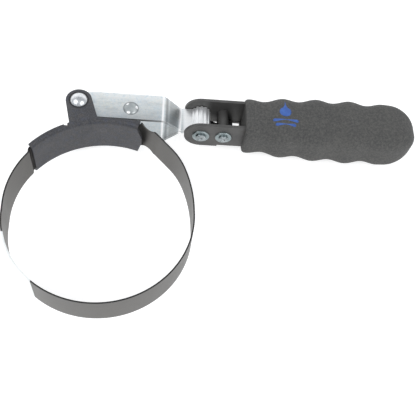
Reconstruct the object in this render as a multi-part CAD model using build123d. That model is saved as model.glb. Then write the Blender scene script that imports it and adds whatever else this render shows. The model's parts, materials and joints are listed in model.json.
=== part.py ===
from build123d import *
from math import asin, atan2, cos, degrees, hypot, pi, radians, sin
import os

# Swivel-handle strap wrench for spin-on oil filters, lying flat.
# +Z is the filter's axis, +X runs from the strap loop toward the grip, and the
# origin is the centre of the loop's round part at the middle of the strap's width.
# All lengths are in millimetres and all angles in degrees.

os.makedirs("parts", exist_ok=True)

# --- strap loop ---
STRAP_T = 0.8
STRAP_W = 21.4
LOOP_R = 48.35                     # strap's mid thickness, round lower part
UPPER_CENTRE = (1.2, 5.0)          # centre of the flatter arc under the saddle
UPPER_R = 49.55
FIXED_END_A = 71.0                 # strap's welded end, seen from UPPER_CENTRE
JOGGLE_A0, JOGGLE_A1 = 140.6, 143.6  # strap steps out here, over the saddle's web
FIXED_OUT_A = 145.0                # where the free strap starts
SPLIT_ANGLES = (190.0, 240.0, 295.0, 347.0)
RIGHT_A = 1.0                      # end of the round part on the handle's side
RIGHT_STRAIGHT = 3.0
RIGHT_R, RIGHT_TURN = 71.4, 20.0   # nearly straight side
CORNER_R, CORNER_TURN = 38.8, 20.0 # strap turning over toward the saddle
SLOPE_LENGTH = 12.4                # straight run after that turn
HINGE_GAP = 0.3                    # between one stretch and the next
WAIST_AT, WAIST_R, WAIST_HALF = 4.6, 5.0, 8.4   # scallop in both edges of the pull end
NARROW_AT, TAIL_W = 9.8, 16.4      # from here the strap fits between the lever's plates
LABEL_A0, LABEL_A1, LABEL_T, LABEL_W = 194.0, 231.0, 0.12, 20.4

# --- saddle ---
SADDLE_T = 1.4
SADDLE_HALF = 12.6
SADDLE_A0, SADDLE_A1 = 70.0, 140.0
TONGUE_A, TONGUE_HALF = 67.2, 2.5    # the web's end runs out to a blunt point
WEB_IN_R = 49.25                   # seen from UPPER_CENTRE, flush with the strap's inside
FLANGE_TOP_R = 51.9
FOLD_R = 2.4
FOOT_SUNK = 0.5                    # ears start this far below the flanges' top
EAR_R = 7.1
EAR_LEFT_FOOT, EAR_RIGHT_FOOT = -18.4, -3.4
EAR_STEP_Y = 57.2
TALL_END_R = 54.3
RELIEF_W, RELIEF_DEEP, RELIEF_AWAY = 1.8, 1.0, 1.9   # bend relief beside each ear
WELD_R = 1.6

# --- lever: u runs along it from the pivot, v across it, z as in the main frame ---
PIVOT = (-14.3, 68.4)
TILT = -2.0
PLATE_T = 1.7
PLATE_OUT = 10.3
LEVER_V = -0.4                     # middle of the plates' height
LEVER_HALF = 8.4
LEVER_NOSE_R = 6.7
NOSE_U = 9.0                       # the plates reach their full height here
LEVER_BEND_R = 2.6
FOLD_1_U, FOLD_2_U = 46.8, 56.2
NECK_Z = 0.95                      # mid thickness of each plate in the neck
NECK_HALF = 7.35
HANDLE_V = -0.6                    # middle of the fork's height
SWIVEL_U = 68.4
KNUCKLE_R = 5.3
FLUTES = 12
FLUTE_R, FLUTE_OUT = 0.95, 0.35    # each flute's centre lies this far outside the knuckle
THROAT_HALF_A = 40                 # no flutes this close to the neck

# --- pins and rivets ---
SHANK_R = 2.5
RUNNING = 0.08                     # radial clearance of a turning pin
SEAT = 0.02                        # radial clearance of a seated pin
PIVOT_HEAD_R, PIVOT_HEAD_H = 4.7, 2.7
SLEEVE_R = 4.0
PIN_U, PIN_V, PIN_R = 28.6, -1.8, 3.0
PIN_HEAD_R, PIN_HEAD_H = 3.9, 0.7
STAKES, STAKE_R = 3, 0.95
EYE_CLEAR = 0.4
WASHER_R, WASHER_T = 4.8, 0.8
HUB_R, HUB_H, HUB_ROUND = 2.9, 1.3, 0.5
DIMPLE_R = 1.1                     # staking mark in the middle of each rivet end
HUB_NICKS, HUB_NICK_R = 4, 0.6
STOP_U, STOP_SHANK_R, STOP_SLEEVE_R = 81.3, 2.0, 2.9

# --- handle channel ---
FORK_HALF_IN, FORK_HALF_OUT = 7.65, 9.4
CHANNEL_DEPTH_HALF = 9.5
CHANNEL_WEB_T = 1.75
BEND_R = 1.6                       # rounded outside corners of the folded channel
WEB_START_U = 78.4
CHANNEL_END_U = 150.0
WINDOW_U0, WINDOW_U1, WINDOW_HALF = 87.6, 91.6, 7.4

# --- detent spring ---
SPRING_T, SPRING_HALF = 0.5, 5.0
SPRING_RIVET_U = 85.0
NAIL_R, NAIL_HEAD_R = 1.0, 1.8     # the spring's own small rivet
NAIL_HEAD_IN, NAIL_HEAD_OUT = 0.6, 0.5   # its two heads' heights
TIP_R = 0.7
TIP_CLEAR = 0.35
TIP_A = -45.0                      # where the spring's tip meets the knuckle

# --- grip ---
GRIP_U0, GRIP_U1 = 92.8, 193.0
GRIP_V = -0.8                      # grip's middle, below the fork's
END_R = 16.5
END_FULLNESS = 0.90                # below 1 the end is blunter than a round one
WAVE_PITCH = 19.6
WAVE_FIRST_U = 114.2
WAVE_H = 0.75
WAVE_LAST_U = 173.0                # last crest; the round end follows on from it
HALF_H, SWELL_H = 12.2, 3.1        # half height at the ends, and what the middle adds
HALF_D, SWELL_D = 11.2, 2.3        # the same for its depth
SWELL_MID, SWELL_REACH = 150.0, 62.0
CORNER_SHARE = 0.61                # corner radius as a share of the half depth

BIG = 400.0


def polar(centre, radius, angle):
    a = radians(angle)
    return (centre[0] + radius * cos(a), centre[1] + radius * sin(a))


def sector(centre, r_in, r_out, a0, a1):
    """Flat piece of a ring between two angles."""
    return make_face([
        CenterArc(centre, r_out, a0, a1 - a0),
        Line(polar(centre, r_out, a1), polar(centre, r_in, a1)),
        CenterArc(centre, r_in, a1, a0 - a1),
        Line(polar(centre, r_in, a0), polar(centre, r_out, a0)),
    ])


def strap(centre, radius, a0, a1, gap0=0.0, gap1=0.0):
    """Piece of strap on an arc, shortened at either end by a length along the arc."""
    per_mm = degrees(1.0 / radius)
    return sector(centre, radius - STRAP_T / 2, radius + STRAP_T / 2,
                  a0 + gap0 * per_mm, a1 - gap1 * per_mm)


def slab(face, z0, z1):
    return extrude(Pos(0, 0, z0) * face, amount=z1 - z0, dir=(0, 0, 1))


def strap_solid(*faces):
    return slab(Sketch() + list(faces), -STRAP_W / 2, STRAP_W / 2)


def rod(radius, z0, z1, x=0.0, y=0.0):
    return Pos(x, y, (z0 + z1) / 2) * Cylinder(radius, z1 - z0)


def tube(r_out, r_in, z0, z1, x=0.0, y=0.0):
    return rod(r_out, z0, z1, x, y) - rod(r_in, z0 - 1, z1 + 1, x, y)


LEVER_FRAME = Pos(PIVOT[0], PIVOT[1], 0) * Rot(0, 0, TILT)
# Cylinder drawn along z, turned to run along v through a point on the handle's middle line
ACROSS = LEVER_FRAME * Pos(0, HANDLE_V, 0) * Rot(-90, 0, 0)


def save(node, *solids):
    shape = solids[0] if len(solids) == 1 else Compound(children=list(solids))
    shape.label = node
    export_step(shape, f"parts/{node}.step")


# ---------------------------------------------------------------- strap loop
half_gap = HINGE_GAP / 2
pin_xy = (LEVER_FRAME * Pos(PIN_U, PIN_V, 0)).position

straight_0 = polar((0, 0), LOOP_R, RIGHT_A)
right_start = polar(straight_0, RIGHT_STRAIGHT, RIGHT_A + 90)
right_centre = polar(right_start, RIGHT_R, RIGHT_A + 180)
right_end = polar(right_centre, RIGHT_R, RIGHT_A + RIGHT_TURN)
corner_centre = polar(right_end, CORNER_R, RIGHT_A + RIGHT_TURN + 180)
corner_a1 = RIGHT_A + RIGHT_TURN + CORNER_TURN
slope_start = polar(corner_centre, CORNER_R, corner_a1)
bend = polar(slope_start, SLOPE_LENGTH, corner_a1 + 90)

# Fixed end: it leaves the loop's line in a small joggle and lies on the saddle's web.
web_out = WEB_IN_R + SADDLE_T
seat_r = web_out + STRAP_T / 2
joggle = FilletPolyline(
    polar(UPPER_CENTRE, UPPER_R, JOGGLE_A1 + 1), polar(UPPER_CENTRE, UPPER_R, JOGGLE_A1),
    polar(UPPER_CENTRE, seat_r, JOGGLE_A0), polar(UPPER_CENTRE, seat_r, JOGGLE_A0 - 1), radius=0.8)
fixed_end = strap_solid(
    strap(UPPER_CENTRE, UPPER_R, JOGGLE_A1 + 0.8, FIXED_OUT_A, 0, half_gap),
    trace(joggle, line_width=STRAP_T),
    strap(UPPER_CENTRE, seat_r, FIXED_END_A, JOGGLE_A0 - 0.8))

# The loop's left side runs straight from the flatter arc down to the round part.
left_side = Pos(-LOOP_R, UPPER_CENTRE[1] / 2) * Rectangle(STRAP_T, UPPER_CENTRE[1])
stretches = [strap_solid(
    strap(UPPER_CENTRE, UPPER_R, FIXED_OUT_A, 180, half_gap, 0),
    left_side,
    strap((0, 0), LOOP_R, 180, SPLIT_ANGLES[0], 0, half_gap))]
for a0, a1 in zip(SPLIT_ANGLES, SPLIT_ANGLES[1:]):
    stretches.append(strap_solid(strap((0, 0), LOOP_R, a0, a1, half_gap, half_gap)))
stretches.append(strap_solid(
    strap((0, 0), LOOP_R, SPLIT_ANGLES[-1], 360 + RIGHT_A, half_gap, 0),
    Pos(*straight_0) * Rot(0, 0, RIGHT_A) * Pos(0, RIGHT_STRAIGHT / 2) * Rectangle(
        STRAP_T, RIGHT_STRAIGHT),
    strap(right_centre, RIGHT_R, RIGHT_A, RIGHT_A + RIGHT_TURN),
    strap(corner_centre, CORNER_R, RIGHT_A + RIGHT_TURN, corner_a1),
    Pos(*slope_start) * Rot(0, 0, corner_a1) * Pos(0, (SLOPE_LENGTH - half_gap) / 2) * Rectangle(
        STRAP_T, SLOPE_LENGTH - half_gap)))
for number, stretch in enumerate(stretches, 1):
    save(f"band_stretch_{number}", stretch)

label_r = LOOP_R + STRAP_T / 2
save("band_label", slab(sector((0, 0), label_r, label_r + LABEL_T, LABEL_A0, LABEL_A1),
                        -LABEL_W / 2, LABEL_W / 2))

# Pull end: waisted, then narrowed, running straight to the band pin and rolled round it.
eye_in = PIN_R + EYE_CLEAR
pin_far = hypot(pin_xy.X - bend[0], pin_xy.Y - bend[1])
lean = degrees(asin((eye_in + STRAP_T / 2) / pin_far))
pull_a = degrees(atan2(pin_xy.Y - bend[1], pin_xy.X - bend[0])) + lean
touch_at = pin_far * cos(radians(lean))
along_pull = Pos(*bend) * Rot(0, 0, pull_a)
blade = along_pull * Pos((half_gap + touch_at) / 2, 0) * Rectangle(touch_at - half_gap, STRAP_T)
pull_end = slab(blade, -STRAP_W / 2, STRAP_W / 2)
for side in (-1, 1):
    scallop = Pos(WAIST_AT, 0, side * (WAIST_HALF + WAIST_R)) * Rot(90, 0, 0) * Cylinder(WAIST_R, 8)
    beside = Pos(NARROW_AT + BIG / 2, 0, side * (TAIL_W / 2 + BIG / 2)) * Box(BIG, 8, BIG)
    pull_end -= along_pull * scallop
    pull_end -= along_pull * beside
eye = Pos(pin_xy.X, pin_xy.Y) * (Circle(eye_in + STRAP_T) - Circle(eye_in))
pull_end += slab(eye, -TAIL_W / 2, TAIL_W / 2)
save("band_pull_end", pull_end)

# ---------------------------------------------------------------- saddle
# A channel whose web lies inside the strap and whose low side flanges rise past it;
# each flange grows into an ear that holds the pivot rivet.
def flange_top(x):
    return UPPER_CENTRE[1] + (FLANGE_TOP_R ** 2 - (x - UPPER_CENTRE[0]) ** 2) ** 0.5


left_foot = (EAR_LEFT_FOOT, flange_top(EAR_LEFT_FOOT) - FOOT_SUNK)
right_foot = (EAR_RIGHT_FOOT, flange_top(EAR_RIGHT_FOOT) - FOOT_SUNK)
ear = make_hull((Pos(*PIVOT) * Circle(EAR_R)).edges() + Edge.make_line(left_foot, right_foot).edges())
# Right of the ear the flange's top edge runs straight to the saddle's end.
sunk_r = FLANGE_TOP_R - FOOT_SUNK
tall_end = make_face(Polyline(
    (EAR_RIGHT_FOOT - 3, right_foot[1]), (EAR_RIGHT_FOOT - 3, EAR_STEP_Y), (EAR_RIGHT_FOOT, EAR_STEP_Y),
    polar(UPPER_CENTRE, TALL_END_R, SADDLE_A0),
    *[polar(UPPER_CENTRE, sunk_r, SADDLE_A0 + step) for step in (0, 8, 16)], close=True))
relief = Pos(EAR_LEFT_FOOT - RELIEF_AWAY, flange_top(EAR_LEFT_FOOT - RELIEF_AWAY)) * Rectangle(
    RELIEF_W, 2 * RELIEF_DEEP)
outline = sector(UPPER_CENTRE, WEB_IN_R, FLANGE_TOP_R, SADDLE_A0, SADDLE_A1)
outline = outline + ear + tall_end - Pos(*PIVOT) * Circle(SHANK_R + SEAT)
ear_inner = SADDLE_HALF - SADDLE_T
saddle = slab(sector(UPPER_CENTRE, WEB_IN_R, web_out, SADDLE_A0, SADDLE_A1),
              -ear_inner - SADDLE_T / 2, ear_inner + SADDLE_T / 2)
for side in (-1, 1):
    saddle += slab(outline, *sorted((side * ear_inner, side * SADDLE_HALF)))
folds = [edge for edge in saddle.edges().filter_by(GeomType.CIRCLE)
         if abs(edge.radius - WEB_IN_R) < 0.01 and abs(abs(edge.center().Z) - SADDLE_HALF) < 0.01]
saddle = fillet(folds, FOLD_R)
saddle -= slab(relief, -BIG, BIG)

# The web's pointed end, drawn flat beside the saddle's end: y along the web, z across it
tongue_root = SADDLE_HALF - FOLD_R
tongue_len = radians(SADDLE_A0 - TONGUE_A) * web_out
point = Plane.YZ * make_face(Polyline(
    (1, -tongue_root), (1, tongue_root), (0, tongue_root), (-tongue_len, TONGUE_HALF),
    (-tongue_len, -TONGUE_HALF), (0, -tongue_root), close=True))
point = Pos(*polar(UPPER_CENTRE, WEB_IN_R, SADDLE_A0)) * Rot(0, 0, SADDLE_A0) * extrude(
    point, amount=3 * SADDLE_T, both=True)
saddle += point & slab(sector(UPPER_CENTRE, WEB_IN_R, web_out, TONGUE_A - 1, SADDLE_A0 + 2),
                       -SADDLE_HALF, SADDLE_HALF)

weld_places = [(a, z) for a in (80.0, 92.0, 104.0) for z in (-4.5, 4.5)]
welds = []
for a, z in weld_places:
    x, y = polar(UPPER_CENTRE, WEB_IN_R + (SADDLE_T + STRAP_T) / 2, a)
    nugget = Pos(x, y, z) * Rot(0, 0, a) * Rot(0, 90, 0) * Cylinder(WELD_R, SADDLE_T + STRAP_T - 0.1)
    welds.append(nugget)
    saddle -= nugget
    fixed_end -= nugget
save("weld_spots", *welds)
save("saddle", saddle)
save("band_fixed_end", fixed_end)

dome_r = (PIVOT_HEAD_R ** 2 + PIVOT_HEAD_H ** 2) / (2 * PIVOT_HEAD_H)


def domed_head(base_z, side):
    """Low round head whose flat side sits at base_z."""
    ball = Pos(0, 0, base_z + side * (PIVOT_HEAD_H - dome_r)) * Sphere(dome_r)
    keep = Pos(0, 0, base_z + side * BIG / 2) * Box(BIG, BIG, BIG)
    return ball & keep


pivot_rivet = rod(SHANK_R, -SADDLE_HALF - 0.5, SADDLE_HALF + 0.5)
for side in (-1, 1):
    pivot_rivet += domed_head(side * SADDLE_HALF, side)
save("pivot_rivet", Pos(*PIVOT, 0) * pivot_rivet)
plate_in = PLATE_OUT - PLATE_T
save("pivot_sleeve", tube(SLEEVE_R, SHANK_R + SEAT, -plate_in + 0.25, plate_in - 0.25, *PIVOT))

# ---------------------------------------------------------------- lever
plate_mid = PLATE_OUT - PLATE_T / 2


def plate_strip(side):
    """One plate seen edge on: u across the page, z up it."""
    line = FilletPolyline((-LEVER_NOSE_R, side * plate_mid), (FOLD_1_U, side * plate_mid),
                          (FOLD_2_U, side * NECK_Z), (SWIVEL_U - 3.4, side * NECK_Z), radius=LEVER_BEND_R)
    return trace(line, line_width=PLATE_T)


knuckle = Pos(SWIVEL_U, 0) * Circle(KNUCKLE_R)
for i in range(FLUTES):
    a = 360 / FLUTES * (i + 0.5)
    if abs(a - 180) > THROAT_HALF_A:
        knuckle -= Pos(*polar((SWIVEL_U, 0), KNUCKLE_R + FLUTE_OUT, a)) * Circle(FLUTE_R)
edge_view = Sketch() + [plate_strip(1), plate_strip(-1), knuckle]
# the page's second axis becomes z, its normal becomes -v
hairpin = Rot(90, 0, 0) * extrude(edge_view, amount=20, both=True)

side_view = make_hull(Circle(LEVER_NOSE_R).edges() + (
    Pos(NOSE_U + 1, LEVER_V) * Rectangle(2, 2 * LEVER_HALF)).edges())
side_view += make_face(Polyline(
    (NOSE_U, LEVER_V - LEVER_HALF), (FOLD_1_U, LEVER_V - LEVER_HALF),
    (FOLD_2_U, HANDLE_V - NECK_HALF), (SWIVEL_U + 8, HANDLE_V - NECK_HALF),
    (SWIVEL_U + 8, HANDLE_V + NECK_HALF), (FOLD_2_U, HANDLE_V + NECK_HALF),
    (FOLD_1_U, LEVER_V + LEVER_HALF), (NOSE_U, LEVER_V + LEVER_HALF), close=True))
lever = hairpin & extrude(side_view, amount=20, both=True)
lever -= rod(SHANK_R + RUNNING, -20, 20)
lever -= rod(PIN_R + SEAT, -20, 20, PIN_U, PIN_V)
lever = LEVER_FRAME * lever
lever -= ACROSS * Pos(SWIVEL_U, 0, 0) * Cylinder(SHANK_R + RUNNING, 40)
save("lever_strap", lever)

# Band pin: a plain pin whose ends are staked over the plates in three places.
pin = rod(PIN_R, -PLATE_OUT - 0.1, PLATE_OUT + 0.1, PIN_U, PIN_V)
for side in (-1, 1):
    cap = Pos(PIN_U, PIN_V, side * (PLATE_OUT + PIN_HEAD_H / 2)) * Cone(
        PIN_HEAD_R, PIN_HEAD_R - PIN_HEAD_H, PIN_HEAD_H, rotation=(0 if side > 0 else 180, 0, 0))
    pin += cap
    for i in range(STAKES):
        x, y = polar((PIN_U, PIN_V), PIN_HEAD_R - STAKE_R / 2, 360 / STAKES * i + 10)
        pin -= Pos(x, y, side * (PLATE_OUT + STAKE_R)) * Sphere(STAKE_R)
save("band_pin", LEVER_FRAME * pin)

# ---------------------------------------------------------------- handle channel
fork_plan = Pos(SWIVEL_U, 0) * Circle(CHANNEL_DEPTH_HALF) + Pos(
    (SWIVEL_U + CHANNEL_END_U) / 2, 0) * Rectangle(CHANNEL_END_U - SWIVEL_U, 2 * CHANNEL_DEPTH_HALF)
flanges = []
for side in (-1, 1):
    v0, v1 = sorted((side * FORK_HALF_IN, side * FORK_HALF_OUT))
    flat = Pos(0, 0, v0) * extrude(fork_plan, amount=v1 - v0)
    flanges.append(flat)
# in this drawing z is v and y is the filter axis, turned into place at the end
web_mid = -CHANNEL_DEPTH_HALF + CHANNEL_WEB_T / 2
web = Pos((WEB_START_U + CHANNEL_END_U) / 2, web_mid, 0) * Box(
    CHANNEL_END_U - WEB_START_U, CHANNEL_WEB_T, 2 * FORK_HALF_IN)
channel = flanges[0] + flanges[1] + web
for side in (-1, 1):
    y, z = -CHANNEL_DEPTH_HALF + BEND_R, side * (FORK_HALF_OUT - BEND_R)
    block = Box(CHANNEL_END_U - WEB_START_U, BEND_R, BEND_R,
                align=(Align.MIN, Align.MAX, Align.MIN if side > 0 else Align.MAX))
    round_bar = Rot(0, 90, 0) * Cylinder(BEND_R, CHANNEL_END_U - WEB_START_U,
                                         align=(Align.CENTER, Align.CENTER, Align.MIN))
    channel -= Pos(WEB_START_U, y, z) * (block - round_bar)
channel -= Pos((WINDOW_U0 + WINDOW_U1) / 2, web_mid, 0) * Box(
    WINDOW_U1 - WINDOW_U0, 6, 2 * WINDOW_HALF)
channel -= rod(SHANK_R + SEAT, -20, 20, SWIVEL_U)
channel -= rod(STOP_SHANK_R + SEAT, -20, 20, STOP_U)
channel -= Pos(SPRING_RIVET_U, web_mid, 0) * Rot(90, 0, 0) * Cylinder(NAIL_R + SEAT, 8)
# turn: drawing y -> z, drawing z -> -v
PLACE = LEVER_FRAME * Pos(0, HANDLE_V, 0) * Rot(90, 0, 0)
channel = PLACE * channel
save("handle_channel", channel)


def cross_rivet(u, shank_r, washer_r, hub_r):
    """Rivet through both flanges with a staked hub at each end, and its two washers."""
    rivet = rod(shank_r, -FORK_HALF_OUT - WASHER_T, FORK_HALF_OUT + WASHER_T, u)
    washers = []
    for side in (-1, 1):
        face = side * FORK_HALF_OUT
        z0, z1 = sorted((face, face + side * WASHER_T))
        washer = rod(washer_r, z0, z1, u) - rod(shank_r + SEAT, z0 - 1, z1 + 1, u)
        rim = washer.edges().filter_by(GeomType.CIRCLE).group_by(Axis.Z)[-1 if side > 0 else 0]
        washers.append(PLACE * chamfer(rim.sort_by(SortBy.RADIUS)[-1], 0.3))
        z0, z1 = sorted((face + side * WASHER_T, face + side * (WASHER_T + HUB_H)))
        hub = rod(hub_r, z0, z1, u)
        top = hub.edges().group_by(Axis.Z)[-1 if side > 0 else 0]
        hub = fillet(top, HUB_ROUND)
        hub -= Pos(u, 0, face + side * (WASHER_T + HUB_H + 0.4)) * Sphere(DIMPLE_R)
        for i in range(HUB_NICKS):
            x, y = polar((u, 0), hub_r - 0.1, 360 / HUB_NICKS * i + 45)
            hub -= Pos(x, y, face + side * (WASHER_T + HUB_H)) * Sphere(HUB_NICK_R)
        rivet += hub
    return PLACE * rivet, washers


swivel_rivet, swivel_washers = cross_rivet(SWIVEL_U, SHANK_R, WASHER_R, HUB_R)
stop_rivet, stop_washers = cross_rivet(STOP_U, STOP_SHANK_R, WASHER_R - 0.1, HUB_R - 0.2)
save("swivel_rivet", swivel_rivet)
save("swivel_washers", *swivel_washers)
save("stop_rivet", stop_rivet)
save("stop_washers", *stop_washers)
save("stop_sleeve", PLACE * tube(STOP_SLEEVE_R, STOP_SHANK_R + SEAT, -FORK_HALF_IN + 0.03,
                                 FORK_HALF_IN - 0.03, STOP_U))

# Detent spring: a strip lying on the web's inner face, bent up so that its tip faces a flute.
web_in = -CHANNEL_DEPTH_HALF + CHANNEL_WEB_T
seat_y = web_in + SPRING_T / 2
tip = polar((SWIVEL_U, 0), KNUCKLE_R + TIP_CLEAR + TIP_R, TIP_A)
spring_line = FilletPolyline((SPRING_RIVET_U + 2.2, seat_y), (STOP_U - 2.5, seat_y), tip, radius=1.5)
spring_page = trace(spring_line, line_width=SPRING_T) + Pos(*tip) * Circle(TIP_R)
spring = extrude(spring_page, amount=SPRING_HALF, both=True)
spring -= Pos(SPRING_RIVET_U, seat_y, 0) * Rot(90, 0, 0) * Cylinder(NAIL_R + SEAT, 4)
save("detent_spring", PLACE * spring)

nail = Pos(SPRING_RIVET_U, (web_in - CHANNEL_WEB_T + seat_y + SPRING_T) / 2, 0) * Rot(
    90, 0, 0) * Cylinder(NAIL_R, CHANNEL_WEB_T + 1.5 * SPRING_T)
for y, height in ((web_in + SPRING_T + NAIL_HEAD_IN / 2, NAIL_HEAD_IN),
                  (-CHANNEL_DEPTH_HALF - NAIL_HEAD_OUT / 2, NAIL_HEAD_OUT)):
    nail += Pos(SPRING_RIVET_U, y, 0) * Rot(90, 0, 0) * Cylinder(NAIL_HEAD_R, height)
save("spring_rivet", PLACE * nail)

# ---------------------------------------------------------------- grip
def grip_half(u):
    """Half height, half depth and corner radius of the grip at u."""
    swell = 1.0 - ((u - SWELL_MID) / SWELL_REACH) ** 2
    wave = WAVE_H * cos(2 * pi * (min(u, WAVE_LAST_U) - WAVE_FIRST_U) / WAVE_PITCH)
    half_h = HALF_H + SWELL_H * swell + wave
    half_d = HALF_D + SWELL_D * swell + wave
    return half_h, half_d, CORNER_SHARE * half_d


def grip_section(u, scale=1.0):
    half_h, half_d, r = grip_half(u)
    plane = Plane(origin=(u, 0, -GRIP_V), x_dir=(0, 0, 1), z_dir=(1, 0, 0))
    return plane * RectangleRounded(2 * half_h * scale, 2 * half_d * scale, r * scale)


body_u1 = GRIP_U1 - END_R
steps = 18
sections = [grip_section(GRIP_U0, 0.94), grip_section(GRIP_U0 + 0.8, 0.99)]
sections += [grip_section(GRIP_U0 + 3 + (body_u1 - GRIP_U0 - 3) * i / steps) for i in range(steps + 1)]
for a in (22, 42, 58, 70, 79, 85.5):
    sections.append(grip_section(body_u1 + END_R * sin(radians(a)), cos(radians(a)) ** END_FULLNESS))
grip = loft(sections)
grip = PLACE * grip
grip -= channel
save("grip", grip)
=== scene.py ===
import json
from math import asin, atan2, cos, degrees, hypot, pi, radians, sin, sqrt, tan

import bpy
from mathutils import Matrix, Vector


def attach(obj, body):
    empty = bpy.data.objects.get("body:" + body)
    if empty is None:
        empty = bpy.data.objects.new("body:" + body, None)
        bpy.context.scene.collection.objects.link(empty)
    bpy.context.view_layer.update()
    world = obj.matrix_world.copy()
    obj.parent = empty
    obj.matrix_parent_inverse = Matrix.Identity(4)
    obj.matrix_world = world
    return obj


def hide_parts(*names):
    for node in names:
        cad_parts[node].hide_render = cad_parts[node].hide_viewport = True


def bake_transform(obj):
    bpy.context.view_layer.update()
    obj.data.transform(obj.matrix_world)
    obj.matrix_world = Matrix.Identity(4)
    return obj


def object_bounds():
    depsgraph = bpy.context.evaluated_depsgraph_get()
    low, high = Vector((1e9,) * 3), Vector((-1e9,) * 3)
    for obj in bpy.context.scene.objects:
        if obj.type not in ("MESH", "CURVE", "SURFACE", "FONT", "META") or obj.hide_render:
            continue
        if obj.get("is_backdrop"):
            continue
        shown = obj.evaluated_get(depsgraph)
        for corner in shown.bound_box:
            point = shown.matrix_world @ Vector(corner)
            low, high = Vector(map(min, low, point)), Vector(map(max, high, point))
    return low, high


# Swivel-handle strap wrench for oil filters, lying flat on a pale table.
# Sizes are in millimetres and turned into metres by MM when a mesh is made.

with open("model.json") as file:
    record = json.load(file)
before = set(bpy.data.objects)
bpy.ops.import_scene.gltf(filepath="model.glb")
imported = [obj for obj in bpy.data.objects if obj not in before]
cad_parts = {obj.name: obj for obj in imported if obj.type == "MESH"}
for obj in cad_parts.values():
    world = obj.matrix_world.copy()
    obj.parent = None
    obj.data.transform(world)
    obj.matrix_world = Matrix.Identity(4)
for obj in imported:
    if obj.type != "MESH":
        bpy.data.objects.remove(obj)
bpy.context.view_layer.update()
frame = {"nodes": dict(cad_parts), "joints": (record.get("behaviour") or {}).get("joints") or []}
MM = 0.001
nodes = frame["nodes"]
joint_at = {j["name"]: Vector(j["pos_m"]) for j in frame["joints"]}

# --- strap loop, as in the CAD source ---
STRAP_T, STRAP_W = 0.8, 21.4
LOOP_R = 48.35
UPPER_CENTRE, UPPER_R = (1.2, 5.0), 49.55
SEAT_R = 51.05                       # strap's mid thickness where it lies on the saddle's web
FIXED_END_A = 71.0
JOGGLE_A0, JOGGLE_A1, JOGGLE_STEPS = 140.6, 143.6, 12
RIGHT_A, RIGHT_STRAIGHT = 1.0, 3.0
RIGHT_R, RIGHT_TURN = 71.4, 20.0
CORNER_R, CORNER_TURN = 38.8, 20.0
SLOPE_LENGTH = 12.4                  # straight run after the corner
CREASE_R = 6.0                       # slight bend where the pull end begins
WAIST_AT, WAIST_R, WAIST_HALF = 4.6, 5.0, 8.4
NARROW_AT, TAIL_W = 9.8, 16.4
EYE_R, EYE_TURN, EYE_STEPS = 3.8, 340.0, 60   # strap's mid thickness rolled round the band pin
LABEL_A0, LABEL_A1 = 194.0, 231.0
LABEL_T, LABEL_OVER = 0.12, 1.6      # film's thickness, and how far it is turned over the rim
STRAP_EDGE_R, EDGE_STEPS = 0.2, 3    # rounded corners of the strap's section
STATION = 0.6                        # distance between cross-sections along the strap

# --- handle: u runs from the pivot along the lever, v across it ---
PIVOT = (-14.3, 68.4)
TILT = -2.0
PIN_U, PIN_V = 28.6, -1.8
STAKES, STAKE_AT, STAKE_A = 3, 3.4, 10.0   # struck marks round the pin's head, where painted highlights sit
HANDLE_V = -0.6
FOLD_1_U, FOLD_2_U = 46.8, 56.2
GRIP_U0, GRIP_U1, GRIP_V = 92.8, 193.0, -0.8
END_R, END_FULLNESS = 16.5, 0.90
WAVE_PITCH, WAVE_FIRST_U, WAVE_H = 19.6, 114.2, 0.75
WAVE_LAST_U = 173.0                  # last crest; the round end follows on from it
HALF_H, SWELL_H = 12.2, 3.1          # half height at the ends, and what the middle adds
HALF_D, SWELL_D = 11.2, 2.3          # the same for its depth
SWELL_MID, SWELL_REACH = 150.0, 62.0
CORNER_SHARE = 0.61                  # corner radius as a share of the half depth
CORNER_STEPS, FLAT_STEPS, BODY_STEPS, END_STEPS = 10, 8, 110, 23
# Rounded mouth of the grip: distance from its end face, and share of the full section
MOUTH = ((0, 0.80), (0, 0.90), (0.05, 0.945), (0.25, 0.97), (0.6, 0.988), (1.1, 0.997), (1.8, 1.0))
MOUTH_END = 2.5

# --- generic printed mark: an oil drop over two bars ---
DROP_AT, DROP_R, DROP_TIP, DROP_STEPS = (115.0, 2.2), 3.3, 7.0, 40
BARS = ((108.9, 121.4, -3.3), (110.2, 119.8, -6.4))   # u of both ends, v
BAR_MID_U, BAR_HALF = 115.2, 1.0
INK_LIFT, INK_RINGS = 0.05, 6

# --- camera ---
CAMERA_AT = Vector((21.03, -159.81, 316.74)) * MM
CAMERA_AIM = Vector((56.70, 9.67, 0.0)) * MM
CAMERA_ROLL = -1.637
LENS, SENSOR = 58.45, 36.0


# --- light and table, in metres and watts ---
LIT_PLACE = (0.05, 0.02, 0.0)
SKY, SKY_STRENGTH = (0.93, 0.96, 1.0, 1.0), 0.62
LIGHTS = (("key", (-0.75, -0.45, 0.95), (0.8, 0.8), 6.0),    # name, place, size, power
          ("fill", (0.8, -0.6, 0.8), (0.9, 0.7), 4.0))
TABLE_HALF, TABLE_FRONT, TABLE_BACK = 2.2, -1.6, 0.6
BACKDROP_R, BACKDROP_H = 0.5, 0.9
NORMAL_WEIGHT = 80


# ------------------------------------------------------------------ helpers
def polar(centre, radius, angle):
    """Place at a distance and an angle in degrees from a centre."""
    a = radians(angle)
    return (centre[0] + radius * cos(a), centre[1] + radius * sin(a))


def lever_point(u, v, z=0.0):
    """Point of the main frame, in millimetres, from a place on the lever."""
    a = radians(TILT)
    return Vector((PIVOT[0] + u * cos(a) - v * sin(a), PIVOT[1] + u * sin(a) + v * cos(a), z))


def new_object(name, points, faces, material):
    mesh = bpy.data.meshes.new(name)
    mesh.from_pydata([Vector(p) * MM for p in points], [], faces)
    mesh.update()
    mesh.polygons.foreach_set("use_smooth", [True] * len(mesh.polygons))
    mesh.materials.append(material)
    obj = bpy.data.objects.new(name, mesh)
    bpy.context.scene.collection.objects.link(obj)
    return obj


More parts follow.
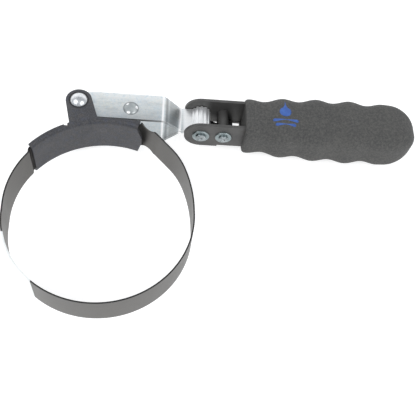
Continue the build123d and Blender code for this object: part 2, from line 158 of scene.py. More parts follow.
def weigh_normals(obj):
    """Keeps flat faces flat beside small rounded edges."""
    modifier = obj.modifiers.new("normals", "WEIGHTED_NORMAL")
    modifier.keep_sharp = True
    modifier.weight = NORMAL_WEIGHT


def rings_to_mesh(rings, closed_ends=(True, True)):
    """Points and faces of a skin over equal closed rings of points."""
    n = len(rings[0])
    points = [p for ring in rings for p in ring]
    faces = []
    for i in range(len(rings) - 1):
        for j in range(n):
            k = (j + 1) % n
            faces.append((i * n + j, i * n + k, (i + 1) * n + k, (i + 1) * n + j))
    if closed_ends[0]:
        faces.append(tuple(range(n))[::-1])
    if closed_ends[1]:
        faces.append(tuple((len(rings) - 1) * n + j for j in range(n)))
    return points, faces


# ------------------------------------------------------------------ materials
MIX_A, MIX_B, MIX_RESULT = 6, 7, 2   # the Mix node's colour sockets
BEVEL_SAMPLES = 6


class Tree:
    """A material's node tree, with short calls for the nodes used here."""

    def __init__(self, name):
        self.material = bpy.data.materials.new(name)
        self.material.use_nodes = True
        self.nodes = self.material.node_tree.nodes
        self.links = self.material.node_tree.links
        self.shader = next(n for n in self.nodes if n.type == "BSDF_PRINCIPLED")

    def add(self, kind, inputs=(), **settings):
        node = self.nodes.new("ShaderNode" + kind)
        for key, value in settings.items():
            setattr(node, key, value)
        for key, value in dict(inputs).items():
            self.put(node.inputs[key], value)
        return node

    def put(self, socket, value):
        if isinstance(value, bpy.types.NodeSocket):
            self.links.new(value, socket)
        else:
            socket.default_value = value

    def place(self, scale=(1, 1, 1)):
        """Place on the object in metres, stretched by scale."""
        where = self.add("TexCoord").outputs["Object"]
        return self.add("Mapping", {"Vector": where, "Scale": scale}).outputs[0]

    def along(self, scale=(1, 1, 1)):
        """Place along and across a strip, in metres."""
        where = self.add("UVMap", uv_map="strip").outputs[0]
        return self.add("Mapping", {"Vector": where, "Scale": scale}).outputs[0]

    def noise(self, where, scale, detail=4.0, rough=0.55, distortion=0.0):
        return self.add("TexNoise", {"Vector": where, "Scale": scale, "Detail": detail,
                                     "Roughness": rough, "Distortion": distortion}).outputs["Fac"]

    def cells(self, where, scale):
        return self.add("TexVoronoi", {"Vector": where, "Scale": scale}).outputs["Distance"]

    def ramp(self, value, *stops):
        node = self.add("ValToRGB", {"Fac": value})
        ramp = node.color_ramp
        while len(ramp.elements) < len(stops):
            ramp.elements.new(0.5)
        for element, (at, colour) in zip(ramp.elements, stops):
            element.position = at
            element.color = (*colour, 1.0)
        return node.outputs["Color"]

    def span(self, value, low, high, to_low=0.0, to_high=1.0):
        """Value between low and high turned into a number between to_low and to_high."""
        return self.add("MapRange", {"Value": value, "From Min": low, "From Max": high,
                                     "To Min": to_low, "To Max": to_high}, clamp=True).outputs[0]

    def mix(self, factor, a, b):
        """Colour a, turning into colour b as factor goes from 0 to 1."""
        node = self.add("Mix", data_type="RGBA")
        self.put(node.inputs["Factor"], factor)
        for socket, value in ((MIX_A, a), (MIX_B, b)):
            if isinstance(value, tuple):
                value = (*value, 1.0)
            self.put(node.inputs[socket], value)
        return node.outputs[MIX_RESULT]

    def math(self, how, a, b=0.0):
        node = self.add("Math", operation=how)
        self.put(node.inputs[0], a)
        self.put(node.inputs[1], b)
        return node.outputs[0]

    def bump(self, height, depth_mm, strength, normal=None):
        node = self.add("Bump", {"Height": height, "Distance": depth_mm * MM, "Strength": strength})
        if normal is not None:
            self.put(node.inputs["Normal"], normal)
        return node.outputs[0]

    def rounded(self, radius_mm):
        """Normals as if sharp edges had this radius."""
        return self.add("Bevel", {"Radius": radius_mm * MM}, samples=BEVEL_SAMPLES).outputs[0]

    def edge(self, radius_mm):
        """1 beside sharp edges, 0 on open faces."""
        rounded = self.rounded(radius_mm)
        flat = self.add("NewGeometry").outputs["Normal"]
        dot = self.add("VectorMath", {0: rounded, 1: flat}, operation="DOT_PRODUCT").outputs["Value"]
        return self.span(dot, 0.99, 0.80)

    def from_axis(self, where, u, v):
        """Distance, in metres, from an axis along z through a place on the lever."""
        flat = self.add("VectorMath", {0: where, 1: (1.0, 1.0, 0.0)}, operation="MULTIPLY").outputs[0]
        spot = lever_point(u, v) * MM
        return self.add("VectorMath", {0: flat, 1: tuple(spot)}, operation="DISTANCE").outputs["Value"]

    def finish(self, colour, roughness, metallic, normal=None):
        self.put(self.shader.inputs["Base Color"], colour)
        self.put(self.shader.inputs["Roughness"], roughness)
        self.put(self.shader.inputs["Metallic"], metallic)
        if normal is not None:
            self.put(self.shader.inputs["Normal"], normal)
        return self.material


def strap_steel():
    """Rolled spring steel: fine lines along the strap, faint blotches, darker edges."""
    t = Tree("strap_steel")
    lines = t.noise(t.along((60, 9000, 1)), 1.0, 3.0, 0.6)
    grain = t.noise(t.along((1, 1, 1)), 2600.0, 3.0, 0.65)
    blotch = t.noise(t.along((1, 1, 1)), 60.0, 5.0, 0.6, 0.4)
    tone = t.ramp(blotch, (0.3, (0.080, 0.077, 0.072)), (0.7, (0.135, 0.130, 0.123)))
    tone = t.mix(t.span(grain, 0.35, 0.68, 0.0, 0.5), tone, (0.23, 0.225, 0.212))
    tone = t.mix(t.span(lines, 0.35, 0.75, 0.0, 0.35), tone, (0.085, 0.082, 0.080))
    across = t.add("SeparateXYZ", {0: t.along()}).outputs["Y"]
    rim = t.span(t.math("ABSOLUTE", across), 10.2 * MM, 10.6 * MM, 0.0, 0.85)
    tone = t.mix(rim, tone, (0.035, 0.034, 0.034))
    rough = t.span(t.math("ADD", t.math("MULTIPLY", grain, 0.5), t.math("MULTIPLY", blotch, 0.5)),
                   0.35, 0.65, 0.36, 0.52)
    height = t.math("ADD", t.math("MULTIPLY", lines, 0.6), t.math("MULTIPLY", grain, 0.4))
    return t.finish(tone, rough, 0.9, t.bump(height, 0.02, 0.5))


def label_film():
    """White film with a faint crumple and small scuffs."""
    t = Tree("label_film")
    where = t.place()
    soft = t.noise(where, 140.0, 4.0)
    fine = t.noise(where, 1500.0, 3.0)
    tone = t.ramp(soft, (0.35, (0.80, 0.83, 0.82)), (0.7, (0.92, 0.93, 0.93)))
    tone = t.mix(t.span(fine, 0.62, 0.75, 0.0, 0.25), tone, (0.62, 0.63, 0.62))
    return t.finish(tone, t.span(soft, 0.3, 0.7, 0.3, 0.45), 0.0, t.bump(soft, 0.05, 0.4))


def saddle_black():
    """Black oxide on pressed steel: blue and brown specks, rubbed edges, painted shade round the pivot."""
    t = Tree("saddle_black")
    where = t.place()
    cloud = t.noise(where, 90.0, 5.0, 0.6)
    grain = t.noise(where, 1500.0, 4.0, 0.7)
    tint = t.noise(where, 420.0, 4.0, 0.65)
    tone = t.ramp(cloud, (0.3, (0.040, 0.041, 0.047)), (0.7, (0.068, 0.068, 0.074)))
    tone = t.mix(t.span(tint, 0.52, 0.68, 0.0, 0.55), tone, (0.050, 0.062, 0.098))
    tone = t.mix(t.span(tint, 0.45, 0.32, 0.0, 0.5), tone, (0.082, 0.070, 0.064))
    tone = t.mix(t.span(grain, 0.48, 0.68, 0.0, 0.6), tone, (0.125, 0.124, 0.130))
    tone = t.mix(t.span(grain, 0.48, 0.32, 0.0, 0.6), tone, (0.022, 0.022, 0.025))
    worn = t.math("MULTIPLY", t.edge(0.35), t.span(cloud, 0.35, 0.6))
    tone = t.mix(t.math("MULTIPLY", worn, 0.45), tone, (0.24, 0.235, 0.225))
    # painted shade: a dark ring round the pivot rivet
    ring = t.span(t.from_axis(where, 0.0, 0.0), 5.9 * MM, 5.1 * MM, 0.0, 0.85)
    tone = t.mix(ring, tone, (0.008, 0.008, 0.009))
    height = t.math("ADD", t.math("MULTIPLY", cloud, 0.5), t.math("MULTIPLY", grain, 0.5))
    normal = t.bump(height, 0.03, 0.5, t.rounded(0.25))
    return t.finish(tone, t.span(grain, 0.3, 0.7, 0.42, 0.58), 0.15, normal)


def channel_black():
    """Black paint over folded steel."""
    t = Tree("channel_black")
    where = t.place()
    cloud = t.noise(where, 120.0, 4.0, 0.55)
    peel = t.noise(where, 1400.0, 2.0, 0.5)
    tone = t.ramp(cloud, (0.3, (0.052, 0.051, 0.050)), (0.75, (0.082, 0.080, 0.076)))
    worn = t.math("MULTIPLY", t.edge(0.3), t.span(cloud, 0.45, 0.65))
    tone = t.mix(t.math("MULTIPLY", worn, 0.5), tone, (0.22, 0.215, 0.21))
    normal = t.bump(peel, 0.03, 0.5, t.rounded(0.3))
    return t.finish(tone, t.span(peel, 0.3, 0.7, 0.36, 0.5), 0.0, normal)


def zinc_plate():
    """Bright zinc plating with fine crystals, a slight blue and yellow cast, painted highlights and shade."""
    t = Tree("zinc_plate")
    where = t.place()
    cloud = t.noise(where, 70.0, 5.0, 0.6, 0.6)
    streak = t.noise(t.place((160, 900, 160)), 1.0, 4.0, 0.6)
    crystals = t.cells(where, 1300.0)
    grain = t.noise(where, 3000.0, 2.0, 0.6)
    tone = t.ramp(cloud, (0.3, (0.50, 0.575, 0.61)), (0.5, (0.62, 0.665, 0.68)), (0.72, (0.60, 0.615, 0.57)))
    tone = t.mix(t.span(crystals, 0.15, 0.6, 0.0, 0.3), tone, (0.82, 0.85, 0.85))
    tone = t.mix(t.span(streak, 0.45, 0.7, 0.0, 0.35), tone, (0.33, 0.36, 0.37))
    # u: metres along the lever from the pivot, v: metres across it
    a = radians(TILT)
    from_pivot = t.add("VectorMath", {0: where, 1: (PIVOT[0] * MM, PIVOT[1] * MM, 0.0)}, operation="SUBTRACT")
    u = t.add("VectorMath", {0: from_pivot.outputs[0], 1: (cos(a), sin(a), 0.0)},
              operation="DOT_PRODUCT").outputs["Value"]
    v = t.add("VectorMath", {0: from_pivot.outputs[0], 1: (-sin(a), cos(a), 0.0)},
              operation="DOT_PRODUCT").outputs["Value"]
    # painted highlight: paler and bluer toward the lever's +v edge
    tone = t.mix(t.span(v, 1.0 * MM, 7.5 * MM, 0.0, 0.6), tone, (0.96, 0.99, 1.0))
    rainbow = t.noise(where, 750.0, 4.0, 0.7)
    tone = t.mix(t.span(rainbow, 0.54, 0.66, 0.0, 0.4), tone, (0.42, 0.56, 0.66))
    tone = t.mix(t.span(rainbow, 0.45, 0.34, 0.0, 0.35), tone, (0.86, 0.80, 0.74))
    shade = t.span(v, 0.0, -9.0 * MM, 0.0, 0.42)
    shade = t.math("MULTIPLY", shade, t.span(u, 46.0 * MM, 40.0 * MM, 0.55, 1.0))
    tone = t.mix(shade, tone, (0.17, 0.18, 0.20))
    # painted shade: the slanted part between the two folds is darker
    slant_shade = t.math("MULTIPLY", t.span(u, 49.0 * MM, 50.5 * MM), t.span(u, 56.4 * MM, 54.0 * MM))
    tone = t.mix(t.math("MULTIPLY", slant_shade, 0.5), tone, (0.10, 0.105, 0.10))
    # painted highlights: bright lines along both folds
    for fold, half in ((FOLD_1_U - 0.4, 0.8), (FOLD_2_U + 0.2, 1.1)):
        near = t.math("ABSOLUTE", t.math("SUBTRACT", u, fold * MM))
        tone = t.mix(t.span(near, half * MM, 0.3 * half * MM, 0.0, 0.95), tone, (1.0, 1.0, 1.0))
    # painted reflection: a dark band just past the first fold
    crease_shade = t.math("ABSOLUTE", t.math("SUBTRACT", u, (FOLD_1_U + 1.8) * MM))
    tone = t.mix(t.span(crease_shade, 1.3 * MM, 0.3 * MM, 0.0, 0.6), tone, (0.08, 0.085, 0.09))
    # painted highlight: the neck and knuckle past u 57.5 mm turn near white
    tone = t.mix(t.span(u, 57.5 * MM, 59.0 * MM, 0.0, 0.75), tone, (1.0, 1.0, 1.0))
    # painted highlight along the lever's sharp edges
    tone = t.mix(t.math("MULTIPLY", t.edge(0.35), 0.6), tone, (0.97, 0.98, 0.98))
    # painted shade: a dark ring round the band pin's head
    from_pin = t.from_axis(where, PIN_U, PIN_V)
    tone = t.mix(t.span(from_pin, 4.6 * MM, 4.0 * MM, 0.0, 0.7), tone, (0.05, 0.055, 0.06))
    rough = t.span(t.math("ADD", t.math("MULTIPLY", crystals, 0.5), t.math("MULTIPLY", grain, 0.5)),
                   0.2, 0.7, 0.26, 0.42)
    normal = t.bump(grain, 0.012, 0.6, t.rounded(0.3))
    return t.finish(tone, rough, 0.85, normal)


def washer_zinc():
    """Zinc washers, greyer than the lever, with a painted highlight on the rim."""
    t = Tree("washer_zinc")
    where = t.place()
    cloud = t.noise(where, 240.0, 4.0, 0.6)
    grain = t.noise(where, 2600.0, 3.0, 0.6)
    tone = t.ramp(cloud, (0.3, (0.20, 0.245, 0.25)), (0.7, (0.36, 0.41, 0.42)))
    # painted highlight: the rim turns bright
    tone = t.mix(t.math("MULTIPLY", t.edge(0.3), 0.8), tone, (0.80, 0.86, 0.86))
    normal = t.bump(grain, 0.02, 0.5, t.rounded(0.25))
    return t.finish(tone, t.span(grain, 0.3, 0.7, 0.26, 0.4), 0.9, normal)


def rivet_steel(name, dull, bright):
    """Plated rivet steel, pressed and slightly scuffed, with painted shade along its edges."""
    t = Tree(name)
    where = t.place()
    cloud = t.noise(where, 260.0, 4.0, 0.6)
    grain = t.noise(where, 2600.0, 3.0, 0.6)
    tone = t.ramp(cloud, (0.3, dull), (0.7, bright))
    # painted shade: dark outline along the sharp edges
    tone = t.mix(t.math("MULTIPLY", t.edge(0.3), 0.45), tone, (0.03, 0.032, 0.034))
    normal = t.bump(t.math("ADD", grain, cloud), 0.02, 0.5, t.rounded(0.2))
    return t.finish(tone, t.span(grain, 0.3, 0.7, 0.2, 0.36), 1.0, normal)


def pin_steel():
    """Staked pin: dull steel, painted highlights on its three struck marks, painted shade on its edges."""
    t = Tree("pin_steel")
    where = t.place()
    cloud = t.noise(where, 260.0, 4.0, 0.6)
    grain = t.noise(where, 2600.0, 3.0, 0.6)
    tone = t.ramp(cloud, (0.3, (0.32, 0.35, 0.36)), (0.7, (0.52, 0.55, 0.55)))
    # painted shade: dark outline along the pin's edges
    tone = t.mix(t.math("MULTIPLY", t.edge(0.3), 0.5), tone, (0.05, 0.054, 0.056))
    # painted highlights: a white spot on each struck mark
    for mark in range(STAKES):
        u, v = polar((PIN_U, PIN_V), STAKE_AT, STAKE_A + 360 / STAKES * mark)
        near = t.from_axis(where, u, v)
        tone = t.mix(t.span(near, 1.15 * MM, 0.75 * MM, 0.0, 0.95), tone, (1.0, 1.0, 1.0))
    normal = t.bump(t.math("ADD", grain, cloud), 0.02, 0.5)
    return t.finish(tone, t.span(grain, 0.3, 0.7, 0.28, 0.42), 0.8, normal)


def weld_steel():
    """Heat-tinted spot weld."""
    t = Tree("weld_steel")
    where = t.place()
    cloud = t.noise(where, 700.0, 4.0, 0.6)
    tone = t.ramp(cloud, (0.3, (0.07, 0.066, 0.068)), (0.55, (0.12, 0.115, 0.12)), (0.8, (0.17, 0.155, 0.14)))
    return t.finish(tone, t.span(cloud, 0.3, 0.7, 0.38, 0.6), 0.6, t.bump(cloud, 0.06, 0.6))


def spring_steel():
    """Blued spring strip."""
    t = Tree("spring_steel")
    where = t.place()
    cloud = t.noise(where, 300.0, 4.0, 0.55)
    lines = t.noise(t.place((400, 9000, 400)), 1.0, 3.0)
    tone = t.ramp(cloud, (0.3, (0.09, 0.10, 0.14)), (0.7, (0.17, 0.17, 0.19)))
    tone = t.mix(t.span(lines, 0.5, 0.8, 0.0, 0.4), tone, (0.28, 0.28, 0.29))
    return t.finish(tone, t.span(lines, 0.3, 0.7, 0.25, 0.4), 0.95, t.bump(lines, 0.01, 0.4))


def grip_rubber():
    """Matt moulded rubber with a fine pebbled skin and dusty high spots."""
    t = Tree("grip_rubber")
    where = t.place()
    cloud = t.noise(where, 45.0, 5.0, 0.6)
    speck = t.noise(where, 900.0, 4.0, 0.7)
    pebble = t.cells(where, 1500.0)
    tone = t.ramp(cloud, (0.3, (0.050, 0.050, 0.049)), (0.7, (0.074, 0.073, 0.070)))
    tone = t.mix(t.span(speck, 0.42, 0.7, 0.0, 0.6), tone, (0.135, 0.132, 0.122))
    tone = t.mix(t.span(speck, 0.5, 0.3, 0.0, 0.5), tone, (0.048, 0.049, 0.052))
    height = t.math("ADD", t.math("MULTIPLY", pebble, 0.7), t.math("MULTIPLY", speck, 0.6))
    return t.finish(tone, t.span(cloud, 0.3, 0.7, 0.72, 0.86), 0.0, t.bump(height, 0.12, 0.5))


def mark_ink():
    """Blue ink printed on rubber, thin in places."""
    t = Tree("mark_ink")
    where = t.place()
    wear = t.noise(where, 1100.0, 4.0, 0.7)
    cloud = t.noise(where, 300.0, 3.0)
    tone = t.ramp(cloud, (0.3, (0.030, 0.085, 0.33)), (0.7, (0.05, 0.14, 0.46)))
    tone = t.mix(t.span(wear, 0.6, 0.72, 0.0, 0.7), tone, (0.075, 0.08, 0.10))
    return t.finish(tone, 0.62, 0.0, t.bump(wear, 0.05, 0.4))


def table_top():
    """Plain pale surface with the faintest mottling."""
    t = Tree("table_top")
    soft = t.noise(t.place(), 6.0, 3.0)
    tone = t.ramp(soft, (0.3, (0.60, 0.60, 0.605)), (0.7, (0.62, 0.62, 0.62)))
    t.put(t.shader.inputs["Emission Color"], (1.0, 1.0, 1.0, 1.0))
    t.put(t.shader.inputs["Emission Strength"], 0.68)
    return t.finish(tone, 0.9, 0.0)


WASHER = washer_zinc()
STRAP, LABEL, SADDLE, CHANNEL = strap_steel(), label_film(), saddle_black(), channel_black()
ZINC, PIN, WELD, SPRING = zinc_plate(), pin_steel(), weld_steel(), spring_steel()
RIVET = rivet_steel("rivet_steel", (0.22, 0.25, 0.26), (0.44, 0.47, 0.48))
# brighter copy of the rivet steel for the pivot's dome: painted highlight
DOME_PAINTED_HIGHLIGHT = rivet_steel("dome_steel_painted_highlight", (0.55, 0.57, 0.59), (0.80, 0.81, 0.82))
RUBBER, INK, TABLE = grip_rubber(), mark_ink(), table_top()

NODE_FINISH = {
    "saddle": SADDLE, "weld_spots": WELD, "pivot_rivet": DOME_PAINTED_HIGHLIGHT, "pivot_sleeve": ZINC,
    "lever_strap": ZINC, "band_pin": PIN, "handle_channel": CHANNEL, "swivel_rivet": RIVET,
    "swivel_washers": WASHER, "stop_rivet": RIVET, "stop_washers": WASHER, "stop_sleeve": CHANNEL,
    "detent_spring": SPRING, "spring_rivet": RIVET,
}
for node, material in NODE_FINISH.items():
    for place in nodes[node].material_slots:
        place.material = material


# ------------------------------------------------------------------ strap
def arc(centre, radius, a0, a1):
    """Points on an arc, one every STATION along it."""
    n = max(2, round(abs(radians(a1 - a0)) * radius / STATION))
    return [polar(centre, radius, a0 + (a1 - a0) * i / n) for i in range(n + 1)]


def line(p, q):
    """Points on a straight run, one every STATION along it."""
    n = max(1, round(hypot(q[0] - p[0], q[1] - p[1]) / STATION))
    return [(p[0] + (q[0] - p[0]) * i / n, p[1] + (q[1] - p[1]) * i / n) for i in range(n + 1)]


def joggle():
    """The strap steps from the saddle's web down to the loop's own line."""
    out = []
    for i in range(JOGGLE_STEPS + 1):
        share = i / JOGGLE_STEPS
        ease = share * share * (3 - 2 * share)
        out.append(polar(UPPER_CENTRE, SEAT_R + (UPPER_R - SEAT_R) * ease,
                         JOGGLE_A0 + (JOGGLE_A1 - JOGGLE_A0) * share))
    return out


def strap_route():
    """The strap's middle line from its welded end to the eye, and where the pull end starts."""
    start = polar((0, 0), LOOP_R, RIGHT_A)
    right_start = polar(start, RIGHT_STRAIGHT, RIGHT_A + 90)
    right_centre = polar(right_start, RIGHT_R, RIGHT_A + 180)
    right_end = polar(right_centre, RIGHT_R, RIGHT_A + RIGHT_TURN)
    corner_centre = polar(right_end, CORNER_R, RIGHT_A + RIGHT_TURN + 180)
    corner_a1 = RIGHT_A + RIGHT_TURN + CORNER_TURN
    slope_start = polar(corner_centre, CORNER_R, corner_a1)
    bend = polar(slope_start, SLOPE_LENGTH, corner_a1 + 90)
    pin = lever_point(PIN_U, PIN_V)
    lean = degrees(asin(EYE_R / hypot(pin.x - bend[0], pin.y - bend[1])))
    pull_a = degrees(atan2(pin.y - bend[1], pin.x - bend[0])) + lean
    touch = polar(pin, EYE_R, pull_a + 90)
    ease = CREASE_R * tan(radians(pull_a - corner_a1 - 90) / 2)
    crease_centre = polar(polar(bend, ease, corner_a1 - 90), CREASE_R, corner_a1 + 180)
    parts = [
        arc(UPPER_CENTRE, SEAT_R, FIXED_END_A, JOGGLE_A0),
        joggle(),
        arc(UPPER_CENTRE, UPPER_R, JOGGLE_A1, 180),
        line((-LOOP_R, UPPER_CENTRE[1]), (-LOOP_R, 0)),
        arc((0, 0), LOOP_R, 180, 360 + RIGHT_A),
        line(start, right_start),
        arc(right_centre, RIGHT_R, RIGHT_A, RIGHT_A + RIGHT_TURN),
        arc(corner_centre, CORNER_R, RIGHT_A + RIGHT_TURN, corner_a1),
        line(slope_start, polar(bend, ease, corner_a1 - 90)),
        arc(crease_centre, CREASE_R, corner_a1, pull_a - 90),
        line(polar(bend, ease, pull_a), touch),
        [polar(pin, EYE_R, pull_a + 90 - EYE_TURN * i / EYE_STEPS) for i in range(EYE_STEPS + 1)],
    ]
    points = [parts[0][0]]
    for part in parts:
        points += part[1:]
    pull_from = len(points) - len(parts[-1]) - len(parts[-2]) + 2
    return points, pull_from


route, pull_from = strap_route()
length_to = [0.0]
for p, q in zip(route, route[1:]):
    length_to.append(length_to[-1] + hypot(q[0] - p[0], q[1] - p[1]))


def half_width(along):
    """Half the strap's width at a length from where the pull end starts: waisted, then narrow."""
    if along > NARROW_AT:
        share = min(1.0, (along - NARROW_AT) / STATION)
        return STRAP_W / 2 + (TAIL_W - STRAP_W) / 2 * share
    from_waist = abs(along - WAIST_AT)
    if from_waist >= WAIST_R:
        return STRAP_W / 2
    return min(STRAP_W / 2, WAIST_HALF + WAIST_R - sqrt(WAIST_R ** 2 - from_waist ** 2))


def strap_ring(i):
    """Closed cross-section of the strap at a point of its route, with its places along and across."""
    a, b = route[max(i - 1, 0)], route[min(i + 1, len(route) - 1)]
    run = hypot(b[0] - a[0], b[1] - a[1])
    out = Vector(((b[1] - a[1]) / run, -(b[0] - a[0]) / run, 0))
    half_w = half_width(length_to[i] - length_to[pull_from])
    half_t, r = STRAP_T / 2, STRAP_EDGE_R
    section = []
    for side_t, side_w, turn in ((1, 1, 0), (-1, 1, 90), (-1, -1, 180), (1, -1, 270)):
        for step in range(EDGE_STEPS + 1):
            angle = radians(turn + 90 * step / EDGE_STEPS)
            section.append((side_t * (half_t - r) + r * cos(angle), side_w * (half_w - r) + r * sin(angle)))
    centre = Vector((*route[i], 0))
    points = [centre + out * t + Vector((0, 0, w)) for t, w in section]
    places = [(length_to[i], w) for t, w in section]
    return points, places


def strap_piece(name, first, last, closed, replaced):
    """One piece of strap between two points of the route, spanning one hinge."""
    rings = [strap_ring(i) for i in range(first, last + 1)]
    points, faces = rings_to_mesh([r[0] for r in rings], closed)
    obj = new_object(name, points, [f[::-1] for f in faces], STRAP)
    places = [p for r in rings for p in r[1]]
    layer = obj.data.uv_layers.new(name="strip")
    for loop in obj.data.loops:
        place = places[loop.vertex_index]
        layer.data[loop.index].uv = (place[0] * MM, place[1] * MM)
    weigh_normals(obj)
    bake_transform(obj)
    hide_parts(*replaced)


# How far the bend at each hinge spreads along the strap to either side
BEND_REACH = {f"strap_flex_{number}": 18 for number in range(2, 6)}
BEND_REACH.update({"strap_flex_1": 9, "strap_flex_6": 1.2})
hinges = sorted(BEND_REACH)


def nearest_on_route(target):
    return min(range(len(route)), key=lambda i: hypot(route[i][0] - target[0], route[i][1] - target[1]))


hinge_index = [nearest_on_route(tuple(joint_at[h] / MM)[:2]) for h in hinges]
cuts = [0] + [(a + b) // 2 for a, b in zip(hinge_index, hinge_index[1:])] + [len(route) - 1]
STRETCHES = [["band_fixed_end", "band_stretch_1"]]
STRETCHES += [[f"band_stretch_{number}"] for number in range(2, 6)]
STRETCHES += [["band_pull_end"]]
for i, hinge in enumerate(hinges):
    ends = (i == 0, i == len(hinges) - 1)
    strap_piece(f"strap_run_{i + 1}", cuts[i], cuts[i + 1], ends, STRETCHES[i])


# ------------------------------------------------------------------ label
def label_piece():
    """Thin film round the strap's outside, turned over its upper rim."""
    t, over = LABEL_T, LABEL_OVER
    outer, inner = LOOP_R + STRAP_T / 2, LOOP_R - STRAP_T / 2
    half = STRAP_W / 2
    low, turn = -half + 0.2, 0.15        # the film's lower edge, and how it rounds the rim
    sunk, under_rim = 0.02, 0.05         # its hidden face lies a little inside the strap
    section = [(outer + t, low), (outer + t, half - turn), (outer + t - turn, half + t - sunk),
               (LOOP_R, half + t), (inner - t + turn, half + t - sunk), (inner - t, half - turn),
               (inner - t, half - over), (inner + sunk, half - over), (inner + sunk, half - under_rim),
               (outer - sunk, half - under_rim), (outer - sunk, low)]
    n = round(radians(LABEL_A1 - LABEL_A0) * LOOP_R / STATION)
    rings = []
    for i in range(n + 1):
        a = LABEL_A0 + (LABEL_A1 - LABEL_A0) * i / n
        rings.append([Vector((*polar((0, 0), r, a), z)) for r, z in section])
    points, faces = rings_to_mesh(rings)
    obj = new_object("label_wrap", points, [f[::-1] for f in faces], LABEL)
    weigh_normals(obj)
    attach(obj, "strap_2")
    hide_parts("band_label")


label_piece()


# ------------------------------------------------------------------ grip
def grip_half(u):
    """Half height, half depth and corner radius of the grip at u."""
    swell = 1.0 - ((u - SWELL_MID) / SWELL_REACH) ** 2
    wave = WAVE_H * cos(2 * pi * (min(u, WAVE_LAST_U) - WAVE_FIRST_U) / WAVE_PITCH)
    half_h = HALF_H + SWELL_H * swell + wave
    half_d = HALF_D + SWELL_D * swell + wave
    return half_h, half_d, CORNER_SHARE * half_d


def grip_point(u, v, z):
    """Point of the main frame from a place on the grip, with v from the grip's own axis."""
    return lever_point(u, HANDLE_V + GRIP_V + v, z)


def grip_outline(u, scale):
    """Rounded rectangle across the grip, as places (v, z), with points along its flat sides too."""
    half_h, half_d, r = (value * scale for value in grip_half(u))
    out = []
    for sv, sz, turn in ((1, 1, 0), (-1, 1, 90), (-1, -1, 180), (1, -1, 270)):
        for i in range(CORNER_STEPS + 1):
            a = radians(turn + 90 * i / CORNER_STEPS)
            out.append((sv * (half_h - r) + r * cos(a), sz * (half_d - r) + r * sin(a)))
        v0, z0 = out[-1]
        for k in range(1, FLAT_STEPS):
            across = 1 - 2 * k / FLAT_STEPS
            out.append((v0 * across, z0) if turn in (0, 180) else (v0, z0 * across))
    return out


def grip_piece():
    body_u1 = GRIP_U1 - END_R
    body_u0 = GRIP_U0 + MOUTH_END
    stations = [(GRIP_U0 + distance, share) for distance, share in MOUTH]
    stations += [(body_u0 + (body_u1 - body_u0) * i / BODY_STEPS, 1.0) for i in range(BODY_STEPS + 1)]
    for i in range(1, END_STEPS):
        a = 90 * i / END_STEPS
        stations.append((body_u1 + END_R * sin(radians(a)), cos(radians(a)) ** END_FULLNESS))
    rings = []
    for u, scale in stations:
        rings.append([grip_point(u, v, z) for v, z in grip_outline(u, scale)])
    points, faces = rings_to_mesh(rings)
    obj = new_object("grip_skin", points, faces, RUBBER)
    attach(obj, "handle")
    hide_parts("grip")


grip_piece()


def grip_top(u, v):
    """Height of the grip's upper face over a place on it."""
    half_h, half_d, r = grip_half(u)
    past = abs(v) - (half_h - r)
    return half_d if past <= 0 else half_d - r + sqrt(max(0.0, r * r - past * past))


def mark_piece(name, outline, centre):
    """Thin patch of ink on the grip's upper face, from a closed outline about a centre."""
    lift, rings, n = INK_LIFT, INK_RINGS, len(outline)
    points = [grip_point(*centre, grip_top(*centre) + lift)]
    faces = []
    for k in range(1, rings + 1):
        for u, v in outline:
            pu, pv = centre[0] + (u - centre[0]) * k / rings, centre[1] + (v - centre[1]) * k / rings
            points.append(grip_point(pu, pv, grip_top(pu, pv) + lift))
    for u, v in outline:
        points.append(grip_point(u, v, grip_top(u, v) - lift))
    for j in range(n):
        faces.append((0, 1 + j, 1 + (j + 1) % n))
        for k in range(rings):
            a, b = 1 + k * n, 1 + (k + 1) * n
            faces.append((a + j, b + j, b + (j + 1) % n, a + (j + 1) % n))
    obj = new_object(name, points, faces, INK)
    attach(obj, "handle")


def bar_outline(u0, u1, v, half):
    """Bar with round ends, counterclockwise."""
    right = [(u1 + half * cos(radians(a)), v + half * sin(radians(a))) for a in range(-90, 91, 15)]
    left = [(u0 + half * cos(radians(a)), v + half * sin(radians(a))) for a in range(90, 271, 15)]
    return right + left


def drop_outline(u, v, r, tip):
    """Oil drop with its tip toward +v."""
    out = []
    lean = degrees(asin(r / tip))
    for i in range(DROP_STEPS + 1):
        a = 180 - lean + (180 + 2 * lean) * i / DROP_STEPS
        out.append((u + r * cos(radians(a)), v + r * sin(radians(a))))
    out.append((u, v + tip))
    return out


mark_piece("mark_drop", drop_outline(*DROP_AT, DROP_R, DROP_TIP), DROP_AT)
for number, (u0, u1, v) in enumerate(BARS, 1):
    mark_piece(f"mark_bar_{number}", bar_outline(u0, u1, v, BAR_HALF), (BAR_MID_U, v))


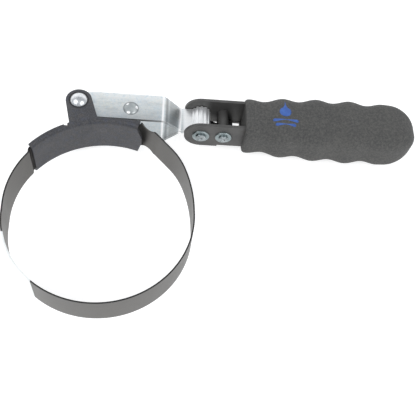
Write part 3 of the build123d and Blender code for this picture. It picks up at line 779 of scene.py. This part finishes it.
# ------------------------------------------------------------------ stage, in metres
def table():
    """Flat surface that sweeps up into a backdrop behind the object."""
    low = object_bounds()[0].z
    profile = [(TABLE_FRONT, 0.0), (TABLE_BACK, 0.0)]
    for angle in range(10, 91, 10):
        a = radians(angle)
        profile.append((TABLE_BACK + BACKDROP_R * sin(a), BACKDROP_R - BACKDROP_R * cos(a)))
    profile.append((TABLE_BACK + BACKDROP_R, BACKDROP_R + BACKDROP_H))
    points = [(x, y, z + low) for x in (-TABLE_HALF, TABLE_HALF) for y, z in profile]
    n = len(profile)
    faces = [(i, n + i, n + i + 1, i + 1) for i in range(n - 1)]
    obj = new_object("table", [Vector(p) / MM for p in points], faces, TABLE)
    obj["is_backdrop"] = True


def area_light(name, at, size, power):
    data = bpy.data.lights.new(name, "AREA")
    data.shape = "RECTANGLE"
    data.size, data.size_y = size
    data.energy = power
    obj = bpy.data.objects.new(name, data)
    obj.location = at
    obj.rotation_euler = (Vector(LIT_PLACE) - Vector(at)).to_track_quat("-Z", "Y").to_euler()
    bpy.context.scene.collection.objects.link(obj)


def lights():
    world = bpy.data.worlds.new("studio")
    world.use_nodes = True
    background = world.node_tree.nodes["Background"]
    background.inputs["Color"].default_value = SKY
    background.inputs["Strength"].default_value = SKY_STRENGTH
    bpy.context.scene.world = world
    for light in LIGHTS:
        area_light(*light)


def camera():
    data = bpy.data.cameras.new("camera")
    data.lens, data.sensor_width, data.sensor_fit = LENS, SENSOR, "HORIZONTAL"
    data.clip_start, data.clip_end = 0.01, 10.0
    obj = bpy.data.objects.new("camera", data)
    forward = (CAMERA_AIM - CAMERA_AT).normalized()
    right = forward.cross(Vector((0, 1, 0))).normalized()
    up = right.cross(forward)
    roll = radians(CAMERA_ROLL)
    across = right * cos(roll) + up * sin(roll)
    upward = up * cos(roll) - right * sin(roll)
    turn = Matrix((across, upward, -forward)).transposed()
    obj.matrix_world = Matrix.Translation(CAMERA_AT) @ turn.to_4x4()
    bpy.context.scene.collection.objects.link(obj)
    bpy.context.scene.camera = obj


table()
lights()
camera()
bpy.context.scene.view_settings.view_transform = "Standard"
